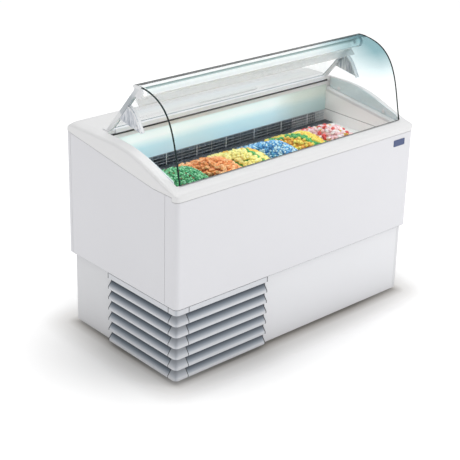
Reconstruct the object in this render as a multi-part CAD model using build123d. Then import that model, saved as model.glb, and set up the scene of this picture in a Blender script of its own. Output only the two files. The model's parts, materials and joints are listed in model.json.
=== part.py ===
"""Ice cream dipping cabinet: a six-pan scooping freezer with a curved lift-up glass.

Units are millimetres.  +X runs along the cabinet to the customer's right, +Y runs from the
customer's front face to the operator's rear face, +Z is up.  The origin is on the floor, at the
centre of the footprint.  Depths called "d" are measured back from the front face.
"""
from build123d import *
from math import cos, sin, radians
import os

# ---------------------------------------------------------------- driving dimensions
WIDTH = 1345.0            # overall width along X
DEPTH = 706.0             # overall depth along Y
BASE_TOP = 336.0          # underside of the insulated body
BASE_CLEARANCE = 14.0     # gap between floor and base panels
BASE_INSET = 20.0         # plain base panels stand this far inside the body
SKIN = 1.5                # sheet metal thickness
SKIN_INSET = 1.5          # the rim stands this far proud of the skins
CORNER_R = 22.0           # front vertical corners
REAR_CORNER_R = 8.0
PANEL_GAP = 2.5           # shadow gap under the rim
SEAM_DEPTH = 72.0         # front skin wraps the corners as far as this
SEAM_GAP = 1.5

RIM_FRONT_BOTTOM = 787.0
RIM_SIDE_BOTTOM = 803.0
RIM_SLOPE_START = 143.0   # depth where the rim's lower edge starts to rise
RIM_SLOPE = 0.133
RIM_FRONT_LIP = 30.0      # depth of the lower front lip
RIM_FRONT_THICK = 50.0    # front rim, front to back
RIM_SIDE_THICK = 40.0
SHELF_Z = 920.0           # rear working shelf
SHELF_FRONT = 487.0
SHELF_THICK = 35.0

WELL_HALF = 612.0         # inside half width of the cold well
WELL_FRONT = 60.0
WELL_BACK = 645.0
WELL_FLOOR = 470.0
LINER = 2.0
GUARD_TOP = 763.0
LEDGE_RISE = 0.122        # the inner ledge rises towards the back
LEDGE_START = 812.0
LEDGE_THICK = 20.0

PAN_COUNT = 6
PAN_PITCH = 165.0
PAN_FRONT = 72.0
PAN_LENGTH = 360.0
PAN_WIDTH = 163.0
PAN_DEPTH = 118.0
PAN_WALL = 1.2
PAN_RIM_Z = 716.0
HEAP_TOP = 790.0
HEAP_LINE = [(77, 736), (115, 752), (200, 771), (280, 784), (335, 790), (380, 779), (410, 757), (427, 734)]

AXIS_D = 309.0            # canopy tube centre
AXIS_Z = 1128.0
TUBE_R = 23.5
HUB_R = 24.5
TUBE_WALL = 3.0
SUPPORT_OUT = 614.5       # outer face of the end supports
SUPPORT_IN = 602.0
GLASS_HALF = 622.0
GLASS_T = 6.0
GLASS_FOOT = (46.5, 832.0)
PIVOT_R = 8.0
RUNNING_GAP = 0.05

FLAP_ANGLE = 49.6         # slope of the rear flap below the horizontal
FLAP_HALF = 590.0
FLAP_OFFSET = 12.0        # flap plane behind the tube centre line
FLAP_HINGE_ALONG = 44.0
FLAP_BOTTOM_Z = 929.0
FLAP_T = 5.0

LOUVRE_PITCH = 48.5
LOUVRE_COUNT = 6
LOUVRE_FIRST_Z = 20.0
LOUVRE_DEPTH = 27.0
LOUVRE_T = 3.0
LOUVRE_LIP = 9.0
LOUVRE_RISE = 45.0        # height of one blade
FRONT_GRILLE_END_X = -185.0
SIDE_GRILLE_END_D = 440.0
CORNER_FRONT_LEN = 68.0
CORNER_SIDE_LEN = 49.0

FRAME_INSET = 36.0
FRAME_FLOOR_Z = 14.0
FOOT_R = 22.0

HALF_W = WIDTH / 2
PARTS = {}


# ---------------------------------------------------------------- helpers
def block(x0, x1, d0, d1, z0, z1):
    """Box between two corners, with depths counted from the front face."""
    low = (Align.MIN, Align.MIN, Align.MIN)
    return Pos(x0, d0 - DEPTH / 2, z0) * Box(x1 - x0, d1 - d0, z1 - z0, align=low)


def side_prism(points, x0, x1):
    """Polygon of (depth, height) points, drawn across the cabinet from x0 to x1."""
    outline = Polyline(*[(d - DEPTH / 2, z) for d, z in points], close=True)
    face = Plane.YZ * make_face(outline)
    return Pos(x0, 0, 0) * extrude(face, x1 - x0)


def rod_x(d, z, radius, x0, x1):
    """Round bar along X."""
    return Pos(x0, d - DEPTH / 2, z) * Rot(0, 90, 0) * Cylinder(
        radius, x1 - x0, align=(Align.CENTER, Align.CENTER, Align.MIN))


def rod_y(x, z, radius, d0, d1):
    """Round bar along Y."""
    return Pos(x, d0 - DEPTH / 2, z) * Rot(-90, 0, 0) * Cylinder(
        radius, d1 - d0, align=(Align.CENTER, Align.CENTER, Align.MIN))


def rod_z(x, d, radius, z0, z1):
    """Round bar along Z."""
    return Pos(x, d - DEPTH / 2, z0) * Cylinder(
        radius, z1 - z0, align=(Align.CENTER, Align.CENTER, Align.MIN))


def plan_block(inset, z0, z1, front_r=CORNER_R, rear_r=REAR_CORNER_R):
    """The cabinet's rounded plan, set in by inset, between two heights."""
    solid = block(-HALF_W + inset, HALF_W - inset, inset, DEPTH - inset, z0, z1)
    uprights = solid.edges().filter_by(Axis.Z).sort_by(Axis.Y)
    solid = fillet(uprights[:2], max(front_r - inset, 1.0))
    uprights = solid.edges().filter_by(Axis.Z).sort_by(Axis.Y)
    return fillet(uprights[-2:], max(rear_r - inset, 1.0))


def mirrored(solid):
    """The same piece on the other side of the cabinet."""
    return mirror(solid, about=Plane.YZ)


def rim_underside(d):
    """Height of the rim's lower edge at a depth."""
    if d < RIM_SLOPE_START:
        return RIM_SIDE_BOTTOM
    return RIM_SIDE_BOTTOM + RIM_SLOPE * (d - RIM_SLOPE_START)


def skirt(d0, d1, gap):
    """Everything between the body's underside and the rim, between two depths."""
    points = [(d0, BASE_TOP), (d1, BASE_TOP)]
    if d1 > RIM_SLOPE_START:
        points += [(d1, rim_underside(d1) - gap)]
    if d0 < RIM_SLOPE_START < d1:
        points += [(RIM_SLOPE_START, RIM_SIDE_BOTTOM - gap)]
    if d1 <= RIM_SLOPE_START:
        points += [(d1, RIM_SIDE_BOTTOM - gap)]
    if d0 < RIM_FRONT_LIP:
        points += [(RIM_FRONT_LIP + gap, RIM_SIDE_BOTTOM - gap),
                   (RIM_FRONT_LIP + gap, RIM_FRONT_BOTTOM - gap),
                   (d0, RIM_FRONT_BOTTOM - gap)]
    else:
        points += [(d0, rim_underside(d0) - gap)]
    return side_prism(points, -HALF_W, HALF_W)


def add(name, shape):
    """Keep a finished piece under its node name."""
    PARTS[name] = shape


# ---------------------------------------------------------------- moulded top rim
CREST = [(3.2, 808.5), (10.5, 816), (23, 822), (42, 828), (95, 848), (145, 866), (195, 884), (240, 898),
         (300, 911), (360, 917.5), (400, 919.6)]
CREST_END = (430.0, SHELF_Z)
ROLL = [(655, 0.0), (676, 2.0), (692, 8.0), (702, 18.0), (DEPTH, 31.0)]   # depth, drop below the shelf
CROWN = [(0.0, 17.0), (2.0, 12.0), (8.0, 7.0), (20.0, 3.0), (RIM_SIDE_THICK, 0.0)]


def rim_section(x, drop):
    """Cross-section of the rim's side at x, with its crest lowered by drop."""
    front = DEPTH / 2
    nose_z = 800.0 - 0.3 * drop
    crest = [(0.0 - front, nose_z)]
    crest += [(d - front, z - drop * min(1.0, 0.3 + d / 120.0)) for d, z in CREST]
    crest += [(CREST_END[0] - front, CREST_END[1] - drop)]
    top = Spline(*crest)
    rolled = [(d - front, SHELF_Z - drop * (1 - fall / 62) - fall) for d, fall in ROLL]
    shelf = Line(crest[-1], rolled[0])
    roll = Spline(*rolled)
    rest = Polyline(rolled[-1],
                    (DEPTH - front, rim_underside(DEPTH)),
                    (RIM_SLOPE_START - front, RIM_SIDE_BOTTOM),
                    (RIM_FRONT_LIP - front, RIM_SIDE_BOTTOM),
                    (RIM_FRONT_LIP - front, RIM_FRONT_BOTTOM),
                    (0 - front, RIM_FRONT_BOTTOM),
                    (0 - front, nose_z))
    plane = Plane(origin=(x, 0, 0), x_dir=(0, 1, 0), z_dir=(1, 0, 0))
    return plane * make_face([top, shelf, roll, rest])


def make_top_rim():
    """One moulding: front rim, sloping side rims, rear shelf and the inner ledge."""
    middle_half = HALF_W - RIM_SIDE_THICK
    middle = extrude(rim_section(-middle_half, 0.0), 2 * middle_half)
    end = loft([rim_section(HALF_W - e, drop) for e, drop in CROWN], ruled=True)
    rim = middle + end + mirrored(end)
    rim = rim & plan_block(0.0, 700.0, 1000.0)
    rim -= block(-middle_half, middle_half, RIM_FRONT_THICK, SHELF_FRONT, 700, 1000)
    rim -= block(-WELL_HALF, WELL_HALF, RIM_FRONT_THICK, WELL_BACK + LINER, 700,
                 SHELF_Z - SHELF_THICK)
    ledge_at = [LEDGE_START + LEDGE_RISE * d for d in (RIM_FRONT_THICK, SHELF_FRONT)]
    ledge = side_prism([(RIM_FRONT_THICK, ledge_at[0] - LEDGE_THICK),
                        (SHELF_FRONT, ledge_at[1] - LEDGE_THICK),
                        (SHELF_FRONT, ledge_at[1]), (RIM_FRONT_THICK, ledge_at[0])],
                       WELL_HALF, middle_half)
    inner_top = ledge.edges().filter_by(lambda e: e.length > 400).sort_by(Axis.Z)[-2:]
    inner_top = inner_top.sort_by(Axis.X)[0]
    ledge = chamfer(inner_top, 8.0)
    front_ledge = block(-WELL_HALF - 1, WELL_HALF + 1, RIM_FRONT_THICK - 1, WELL_FRONT, 792, 808)
    return rim + ledge + mirrored(ledge) + front_ledge


def ledge_underside(d):
    """Height of the underside of the sloping inner ledge."""
    return LEDGE_START - LEDGE_THICK + LEDGE_RISE * d


# ---------------------------------------------------------------- skins, foam and liner
def make_body(rim):
    """Painted skins around the foam, and the liner inside it."""
    shell = plan_block(SKIN_INSET, BASE_TOP, 900) - plan_block(SKIN_INSET + SKIN, BASE_TOP - 1, 901)
    rear_seam = DEPTH - 24.0
    add("front_skin", shell & skirt(0, SEAM_DEPTH, PANEL_GAP))
    sides = shell & skirt(SEAM_DEPTH + SEAM_GAP, rear_seam, PANEL_GAP)
    sides = sides.solids().sort_by(Axis.X)
    add("left_skin", sides[0])
    add("right_skin", sides[-1])
    add("rear_skin", shell & skirt(rear_seam + SEAM_GAP, DEPTH, PANEL_GAP))

    liner_box = block(-WELL_HALF - LINER, WELL_HALF + LINER, WELL_FRONT - LINER,
                      WELL_BACK + LINER, WELL_FLOOR - LINER, SHELF_Z - SHELF_THICK)
    cavity = block(-WELL_HALF, WELL_HALF, WELL_FRONT, WELL_BACK, WELL_FLOOR, SHELF_Z)
    above_ledge = side_prism([(0, 792), (WELL_FRONT + 1, 792),
                              (WELL_FRONT + 1, ledge_underside(WELL_FRONT + 1)),
                              (SHELF_FRONT, ledge_underside(SHELF_FRONT)),
                              (SHELF_FRONT, 1000), (0, 1000)], -HALF_W, HALF_W)
    liner = liner_box - cavity - above_ledge
    rail_z = PAN_RIM_Z - 18.0
    rail = block(-WELL_HALF, -WELL_HALF + 10, WELL_FRONT, SHELF_FRONT - 30, rail_z - 6, rail_z)
    add("inner_liner", (liner + rail + mirrored(rail)) - rim)

    foam = plan_block(SKIN_INSET + SKIN, BASE_TOP + 2, 900) & skirt(3, DEPTH - 3, 0)
    add("insulation_foam", foam - liner_box - cavity - above_ledge - rim)


# ---------------------------------------------------------------- base
def blade_profile(z_lip):
    """Louvre section as (inset, height) points: a lip, then a blade sloping up and inwards."""
    i, t = SKIN_INSET, LOUVRE_T
    knee, top = z_lip + LOUVRE_LIP, z_lip + LOUVRE_RISE
    return [(i, z_lip), (i, knee), (i + LOUVRE_DEPTH, top), (i + LOUVRE_DEPTH + t, top),
            (i + t, knee), (i + t, z_lip)]


def along_y(points, d0, d1):
    """Polygon of (inset from the left side, height) points, drawn from depth d0 to d1."""
    outline = Polyline(*[(inset - HALF_W, z) for inset, z in points], close=True)
    return Pos(0, d1 - DEPTH / 2, 0) * extrude(Plane.XZ * make_face(outline), d1 - d0)


def corner_blade(z_lip):
    """Solid rounded corner of one louvre, before it is cut to length."""
    width, radius = 2 * (HALF_W - SKIN_INSET), CORNER_R - SKIN_INSET
    low = Pos(0, SKIN_INSET, z_lip + LOUVRE_LIP) * RectangleRounded(width, DEPTH, radius)
    high = Pos(0, SKIN_INSET + LOUVRE_DEPTH, z_lip + LOUVRE_RISE) * RectangleRounded(
        width - 2 * LOUVRE_DEPTH, DEPTH, 2.0)
    return loft([low, high], ruled=True) + extrude(low, -LOUVRE_LIP)


def make_grilles():
    """Louvred grille around the front left corner: front, side and corner mouldings."""
    left, top = -HALF_W, BASE_TOP - 2.2
    band_z = LOUVRE_FIRST_Z + LOUVRE_PITCH * LOUVRE_COUNT
    i, t = SKIN_INSET, LOUVRE_T
    rib0 = i + LOUVRE_DEPTH
    rib1 = rib0 + 5.5
    heights = [LOUVRE_FIRST_Z + LOUVRE_PITCH * k for k in range(LOUVRE_COUNT)]
    sections = [blade_profile(z) for z in heights]
    sections.append([(i, band_z), (i, top), (rib1, top), (rib1, top - t), (i + t, top - t),
                     (i + t, band_z)])

    x0, x1 = left + CORNER_FRONT_LEN + 0.7, FRONT_GRILLE_END_X
    pieces = [side_prism(section, x0, x1) for section in sections]
    for k in range(4):
        x = x0 + 3 + k * (x1 - x0 - 9) / 3
        pieces.append(block(x, x + 3, rib0, rib1, LOUVRE_FIRST_Z + 30, top))
    add("front_louvre_grille", union(pieces))

    d0, d1 = CORNER_SIDE_LEN + 0.7, SIDE_GRILLE_END_D
    pieces = [along_y(section, d0, d1) for section in sections]
    for k in range(3):
        d = d0 + 3 + k * (d1 - d0 - 9) / 2
        pieces.append(block(left + rib0, left + rib1, d, d + 3, LOUVRE_FIRST_Z + 30, top))
    add("side_louvre_grille", union(pieces))

    zone = block(left, left + CORNER_FRONT_LEN, 0, CORNER_SIDE_LEN, 0, top)
    zone -= block(left + rib1, left + 100, rib1, 100, 0, 400)
    pieces = [corner_blade(z) & zone for z in heights]
    pieces.append(plan_block(i, band_z, top) & zone)
    post = block(left + rib0, left + CORNER_FRONT_LEN, rib0, CORNER_SIDE_LEN,
                 LOUVRE_FIRST_Z, top)
    add("corner_louvre_grille", union(pieces) + (post & zone))


def union(shapes):
    """Fuse a list of solids in one operation."""
    return shapes[0] + shapes[1:]


def folded_panel(x0, x1, d0, d1, z0, z1, open_side):
    """Sheet-metal panel with returned edges, open towards the inside."""
    panel = block(x0, x1, d0, d1, z0, z1)
    t = SKIN
    lows = {"x": (x0 + t, x1 - t), "d": (d0 + t, d1 - t)}
    if open_side == "+x":
        lows["x"] = (x0 + t, x1 + 1)
    if open_side == "-x":
        lows["x"] = (x0 - 1, x1 - t)
    if open_side == "+d":
        lows["d"] = (d0 + t, d1 + 1)
    if open_side == "-d":
        lows["d"] = (d0 - 1, d1 - t)
    return panel - block(*lows["x"], *lows["d"], z0 + t, z1 - t)


def make_base():
    """Frame, feet and plain base panels."""
    left, right = -HALF_W, HALF_W
    i, f = BASE_INSET, FRAME_INSET
    top = BASE_TOP - 2.0
    z0 = BASE_CLEARANCE
    back = DEPTH - i

    frame = block(left + f, right - f, f, DEPTH - f, FRAME_FLOOR_Z, FRAME_FLOOR_Z + 3)
    posts = []
    for x in (left + f, right - f - 30):
        for d in (f, DEPTH - f - 30):
            posts.append(block(x, x + 30, d, d + 30, FRAME_FLOOR_Z, top))
    deck = block(left + f, right - f, f, DEPTH - f, top, BASE_TOP)
    cheek = plan_block(SKIN_INSET + SKIN + 0.5, top, BASE_TOP)
    frame = frame + union(posts) + deck + cheek

    feet = []
    for x in (left + 75, right - 75):
        for d in (75, DEPTH - 75):
            frame -= rod_z(x, d, 6.2, 0, 40)
            pad = fillet(rod_z(x, d, FOOT_R, 0, 9).edges().sort_by(Axis.Z)[-1:], 3)
            nut = rod_z(x, d, 11, FRAME_FLOOR_Z + 3, FRAME_FLOOR_Z + 11)
            feet.append(pad + rod_z(x, d, 6, 8, 40) + nut)
    add("base_frame", frame)
    add("levelling_feet", Compound(children=feet))

    add("left_base_panel", folded_panel(left + i, left + f, SIDE_GRILLE_END_D + 1, back,
                                        z0, top, "+x"))
    add("right_base_panel", folded_panel(right - f, right - i, i, back, z0, top, "-x"))
    add("front_base_panel", folded_panel(FRONT_GRILLE_END_X + 1, right - f - 0.5, i, f,
                                         z0, top, "+d"))
    rear = folded_panel(left + f + 0.5, right - f - 0.5, DEPTH - f, back, z0, top, "-d")
    for row in range(7):
        for col in range(3):
            x = left + 120 + col * 125
            z = 70 + row * 30
            rear -= block(x, x + 105, back - 4, back + 1, z, z + 12)
    panel_x, panel_z = 430.0, 262.0
    rear -= block(panel_x - 92, panel_x + 92, back - 4, back + 1, panel_z - 26, panel_z + 26)
    rear -= block(560, 596, back - 4, back + 1, 60, 92)
    add("rear_base_panel", rear)
    make_controls(panel_x, panel_z, back)


def make_controls(x, z, back):
    """Rear control plate with knob and two rockers, and the mains inlet."""
    plate = block(x - 100, x + 100, back, back + 3, z - 34, z + 34)
    plate = fillet(plate.edges().filter_by(Axis.Y), 5)
    box = block(x - 88, x + 88, back - 60, back, z - 23, z + 23)
    plate = plate + box
    rocker_x = (x + 20, x + 62)
    for rx in rocker_x:
        plate -= block(rx - 12, rx + 12, back - 14, back + 4, z - 16, z + 16)
    knob_x = x - 52
    plate -= rod_y(knob_x, z, 5.05, back - 20, back + 4)
    add("control_plate", plate)
    for name, rx in zip(("cooling_switch", "light_switch"), rocker_x):
        body = block(rx - 11, rx + 11, back - 8, back + 3.5, z - 13, z + 13)
        low = block(rx - 12, rx + 12, back - 9, back + 8, z, z + 14)
        tilt = Pos(0, back - DEPTH / 2, z) * Rot(-8, 0, 0) * Pos(0, -(back - DEPTH / 2), -z)
        rocker = (body - low) + (tilt * (body & low))
        rocker = rocker + rod_x(back - 2, z, 3, rx - 11.9, rx + 11.9)
        add(name, rocker)
    knob = rod_y(knob_x, z, 16, back + 3.5, back + 16)
    knob = fillet(knob.edges().filter_by(GeomType.CIRCLE).sort_by(Axis.Y)[-1:], 2.5)
    knob += block(knob_x - 2.5, knob_x + 2.5, back + 12, back + 18, z - 14, z + 14)
    knob += rod_y(knob_x, z, 5, back - 14, back + 4)
    add("thermostat_knob", knob)
    inlet = block(562, 594, back - 24, back + 2, 62, 90)
    inlet -= block(567, 589, back - 14, back + 3, 66, 86)
    add("power_inlet", inlet)


# ---------------------------------------------------------------- refrigeration
def fan_wheel(radius, width, blades, bore, pitch_deg=32.0):
    """Axial fan wheel around Z, centred on the origin."""
    hub_r = radius * 0.3
    wheel = Cylinder(hub_r, width)
    for k in range(blades):
        blade = Pos((radius + hub_r * 0.8) / 2, 0, 0) * Rot(pitch_deg, 0, 0) * Box(
            radius - hub_r * 0.8, width * 1.5, 2)
        wheel = wheel + Rot(0, 0, 360 / blades * k) * blade
    wheel = wheel & Cylinder(radius, width)
    return wheel - Cylinder(bore, width + 2)


def make_machine():
    """Condensing unit in the base."""
    cx0, cx1, cd0, cd1, cz0, cz1 = -560.0, -240.0, 52.0, 96.0, 40.0, 300.0
    plates = [block(cx0, cx0 + 2, cd0, cd1, cz0, cz1), block(cx1 - 2, cx1, cd0, cd1, cz0, cz1)]
    fins = []
    for k in range(1, 20):
        x = cx0 + k * (cx1 - cx0) / 20
        fins.append(block(x, x + 1, cd0 + 2, cd1 - 2, cz0 + 4, cz1 - 4))
    tubes = [rod_x(74, cz0 + 30 + 50 * k, 5, cx0 + 1, cx1 - 1) for k in range(5)]
    foot = block(cx0, cx1, cd0, cd1, FRAME_FLOOR_Z + 3, cz0)
    add("condenser", union(plates + [foot] + fins + tubes))

    fx, fz = (cx0 + cx1) / 2, (cz0 + cz1) / 2
    shroud = block(cx0, cx1, cd1, cd1 + 42, cz0 - 23, cz1)
    shroud -= block(cx0 + 2, cx1 - 2, cd1 - 1, cd1 + 39, cz0, cz1 - 2)
    shroud -= rod_y(fx, fz, 104, cd1 + 30, cd1 + 50)
    motor = rod_y(fx, fz, 34, cd1 + 60, cd1 + 110) + rod_y(fx, fz, 5, cd1 + 20, cd1 + 62)
    for side in (-1, 1):
        x0, x1 = sorted((fx + side * 30, fx + side * 125))
        motor += block(x0, x1, cd1 + 66, cd1 + 70, fz - 8, fz + 8)
        x0, x1 = sorted((fx + side * 121, fx + side * 125))
        motor += block(x0, x1, cd1 + 42, cd1 + 70, fz - 8, fz + 8)
    add("condenser_fan_shroud", shroud + motor)
    wheel = fan_wheel(98, 26, 5, 5.05)
    add("condenser_fan_blade", Pos(fx, cd1 + 36 - DEPTH / 2, fz) * Rot(90, 0, 0) * wheel)

    comp_x, comp_d, base = 30.0, 300.0, FRAME_FLOOR_Z + 3
    shell = rod_z(comp_x, comp_d, 92, base + 22, base + 190)
    shell = fillet(shell.edges().filter_by(GeomType.CIRCLE), 34)
    shell += block(comp_x - 120, comp_x + 120, comp_d - 60, comp_d + 60, base + 18, base + 24)
    shell += block(comp_x + 85, comp_x + 118, comp_d - 32, comp_d + 32, base + 70, base + 130)
    for x in (comp_x - 104, comp_x + 104):
        for d in (comp_d - 45, comp_d + 45):
            shell += rod_z(x, d, 13, base, base + 18.5)
    add("compressor", shell)


def make_cold_parts():
    """Evaporator, its fans, the air guard, the light and the pan frame."""
    e_half, e0, e1, ez0, ez1 = 560.0, 500.0, 566.0, 640.0, 752.0
    fins = []
    for k in range(1, 40):
        x = -e_half + k * 2 * e_half / 40
        fins.append(block(x, x + 1.2, e0, e1, ez0, ez1))
    tubes = [rod_x(533, z, 5, -e_half, e_half) for z in (662, 696, 730)]
    ends = [block(s * e_half - 2, s * e_half + 2, e0, e1, ez0, ez1) for s in (-1, 1)]
    add("evaporator", union(ends + tubes + fins))

    panel = block(-WELL_HALF + 1, WELL_HALF - 1, 572, 575, WELL_FLOOR, 757)
    wheel = fan_wheel(52, 20, 5, 3.05)
    for name, x in (("evaporator_fan_blade_left", -280.0), ("evaporator_fan_blade_right", 280.0)):
        panel -= rod_y(x, 650, 57, 560, 590)
        panel += rod_y(x, 650, 20, 596, 626) + rod_y(x, 650, 3, 570, 600)
        panel += block(x - 70, x + 70, 596, 599, 644, 656)
        for side in (-1, 1):
            x0, x1 = sorted((x + side * 66, x + side * 70))
            panel += block(x0, x1, 574, 599, 644, 656)
        add(name, Pos(x, 582 - DEPTH / 2, 650) * Rot(90, 0, 0) * wheel)
    add("evaporator_fan_panel", panel)

    guard = [block(-606, 606, 486, 489, z, z + 3) for z in (656, 682, 708, 734, GUARD_TOP - 3)]
    for k in range(-7, 8):
        x = k * PAN_PITCH / 2
        guard.append(block(x - 1, x + 1, 484.5, 486.5, 656, GUARD_TOP))
    add("air_guard_grid", union(guard))

    add("light_diffuser", block(-WELL_HALF + 1, WELL_HALF - 1, 487, 490, GUARD_TOP + 1,
                                SHELF_Z - SHELF_THICK))
    lamp = rod_x(512, 828, 8, -600, 450)
    lamp += block(-606, -600, 500, 524, 816, 840) + block(450, 456, 500, 524, 816, 840)
    lamp += block(-606, 456, 524, 527, 812, 844)
    add("lamp_tube", lamp)

    deck_z = PAN_RIM_Z - PAN_WALL
    half = PAN_COUNT * PAN_PITCH / 2
    frame = block(-WELL_HALF + 1, WELL_HALF - 1, WELL_FRONT + 1, 482, deck_z - 2, deck_z)
    frame -= block(-half + 4, half - 4, PAN_FRONT + 4, PAN_FRONT + PAN_LENGTH - 4,
                   deck_z - 3, deck_z + 1)
    for d0 in (WELL_FRONT + 1, 478):
        frame += block(-WELL_HALF + 1, WELL_HALF - 1, d0, d0 + 4, PAN_RIM_Z - 18, deck_z)
    side = block(-WELL_HALF + 1, -WELL_HALF + 5, WELL_FRONT + 1, 456, PAN_RIM_Z - 18, deck_z)
    add("pan_frame", frame + side + mirrored(side))


# ---------------------------------------------------------------- pans and ice cream
def make_pans():
    """Six steel pans, each with its own heap of ice cream."""
    back = PAN_FRONT + PAN_LENGTH
    for k in range(PAN_COUNT):
        x = (k - (PAN_COUNT - 1) / 2) * PAN_PITCH
        half = PAN_WIDTH / 2
        inner = half - 5.0
        body = block(x - inner, x + inner, PAN_FRONT + 6, back - 6, PAN_RIM_Z - PAN_DEPTH, PAN_RIM_Z)
        body = fillet(body.edges().filter_by(Axis.Z), 18)
        body = fillet(body.faces().sort_by(Axis.Z)[0].edges(), 8)
        hollow = block(x - inner + PAN_WALL, x + inner - PAN_WALL, PAN_FRONT + 6 + PAN_WALL,
                       back - 6 - PAN_WALL, PAN_RIM_Z - PAN_DEPTH + PAN_WALL, PAN_RIM_Z + 1)
        hollow = fillet(hollow.edges().filter_by(Axis.Z), 18 - PAN_WALL)
        hollow = fillet(hollow.faces().sort_by(Axis.Z)[0].edges(), 8 - PAN_WALL)
        flange = block(x - half, x + half, PAN_FRONT, back, PAN_RIM_Z - PAN_WALL, PAN_RIM_Z)
        flange = fillet(flange.edges().filter_by(Axis.Z), 6)
        add(f"pan_{k + 1}", (body + flange) - hollow)
        add(f"ice_cream_{k + 1}", heap(x, inner - PAN_WALL, back) & (
            hollow + block(x - half + 1.5, x + half - 1.5, PAN_FRONT + 4, back - 4,
                           PAN_RIM_Z, HEAP_TOP + 40)))


def heap(x, half, back):
    """A domed heap that fills its pan."""
    low = PAN_RIM_Z - PAN_DEPTH + PAN_WALL + 1
    front = HEAP_LINE[0][0] - DEPTH / 2
    rear = HEAP_LINE[-1][0] - DEPTH / 2
    long_top = Spline(*[(d - DEPTH / 2, z) for d, z in HEAP_LINE])
    long_rest = Polyline((rear, HEAP_LINE[-1][1]), (rear, low), (front, low),
                         (front, HEAP_LINE[0][1]))
    long_face = Plane.YZ * make_face([long_top, long_rest])
    lengthwise = Pos(x - 100, 0, 0) * extrude(long_face, 200)
    edge = half + 3
    cross_top = Spline((x - edge, PAN_RIM_Z + 24), (x - 60, HEAP_TOP - 20), (x - 30, HEAP_TOP - 3),
                       (x, HEAP_TOP), (x + 30, HEAP_TOP - 3), (x + 60, HEAP_TOP - 20),
                       (x + edge, PAN_RIM_Z + 24))
    cross_rest = Polyline((x + edge, PAN_RIM_Z + 24), (x + edge, low), (x - edge, low),
                          (x - edge, PAN_RIM_Z + 24))
    cross_face = Plane.XZ * make_face([cross_top, cross_rest])
    crosswise = Pos(0, rear + 10, 0) * extrude(cross_face, rear - front + 20)
    return lengthwise & crosswise


# ---------------------------------------------------------------- glass and its supports
def glass_point(t, shift):
    """Point on the curved glass, shifted outwards from its middle surface."""
    p0, p1, p2, p3 = (AXIS_D, AXIS_Z + 30), (84, AXIS_Z + 30), (90.4, 1004), GLASS_FOOT
    u = 1 - t
    point = [u**3 * a + 3 * u * u * t * b + 3 * u * t * t * c + t**3 * d
             for a, b, c, d in zip(p0, p1, p2, p3)]
    slope = [3 * u * u * (b - a) + 6 * u * t * (c - b) + 3 * t * t * (d - c)
             for a, b, c, d in zip(p0, p1, p2, p3)]
    length = (slope[0]**2 + slope[1]**2) ** 0.5
    normal = (slope[1] / length, -slope[0] / length)
    return (point[0] + shift * normal[0] - DEPTH / 2, point[1] + shift * normal[1])


def make_glass():
    """Curved glass, its tube, end bushes and gasket: everything that lifts."""
    steps = [k / 10 for k in range(11)]
    centre = (AXIS_D - DEPTH / 2, AXIS_Z)
    lines = []
    ends = []
    for shift in (-GLASS_T / 2, GLASS_T / 2):
        radius = 30 + shift
        curve = Spline(*[glass_point(t, shift) for t in steps])
        tail = (centre[0] + radius * cos(radians(62)), centre[1] + radius * sin(radians(62)))
        mid = (centre[0] + radius * cos(radians(76)), centre[1] + radius * sin(radians(76)))
        arc = ThreePointArc(tail, mid, glass_point(0, shift))
        lines += [curve, arc]
        ends.append((tail, glass_point(1, shift)))
    lines += [Line(ends[0][0], ends[1][0]), Line(ends[0][1], ends[1][1])]
    face = Plane.YZ * make_face(lines)
    add("curved_glass", Pos(-GLASS_HALF, 0, 0) * extrude(face, 2 * GLASS_HALF))

    tube_half = SUPPORT_IN - 1.0
    tube = rod_x(AXIS_D, AXIS_Z, TUBE_R, -tube_half, tube_half)
    tube -= rod_x(AXIS_D, AXIS_Z, TUBE_R - TUBE_WALL, -tube_half - 1, tube_half + 1)
    mouth = side_prism([(AXIS_D, AXIS_Z), (AXIS_D - 26, AXIS_Z + 37), (AXIS_D - 50, AXIS_Z + 37),
                        (AXIS_D - 50, AXIS_Z - 30), (AXIS_D - 36, AXIS_Z - 26)],
                       -tube_half - 1, tube_half + 1)
    tube -= mouth
    bushes = []
    for side in (-1, 1):
        x0, x1 = sorted((side * (tube_half - 14), side * tube_half))
        bush = rod_x(AXIS_D, AXIS_Z, TUBE_R - TUBE_WALL, x0, x1)
        bushes.append(bush - rod_x(AXIS_D, AXIS_Z, PIVOT_R + RUNNING_GAP, x0 - 1, x1 + 1))
    add("canopy_tube", tube + bushes)
    seal = []
    for radius in (TUBE_R, 30 - GLASS_T / 2):
        seal.append([(centre[0] + radius * cos(radians(a)), centre[1] + radius * sin(radians(a)))
                     for a in (64, 76, 88)])
    inner, outer = (ThreePointArc(*points) for points in seal)
    seal_face = make_face([inner, Line(inner @ 1, outer @ 1), outer, Line(outer @ 0, inner @ 0)])
    add("tube_gasket", Pos(-tube_half, 0, 0) * extrude(Plane.YZ * seal_face, 2 * tube_half))
    cap = side_prism([(276, 1149), (276, 1160.9), (309, 1160.9), (322, 1158), (328, 1152), (322, 1147)],
                     GLASS_HALF, GLASS_HALF + 2.5)
    cap += side_prism([(276, 1149.5), (276, 1153.4), (300, 1154.4), (300, 1151.5)],
                      GLASS_HALF - 12, GLASS_HALF + 1)
    add("glass_end_caps", Compound(children=[cap, mirrored(cap)]))


def flap_point(along, offset):
    """Point in the flap's plane, measured down the slope from the tube centre."""
    c, s = cos(radians(FLAP_ANGLE)), sin(radians(FLAP_ANGLE))
    return (AXIS_D + along * c + offset * s, AXIS_Z - along * s + offset * c)


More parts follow.
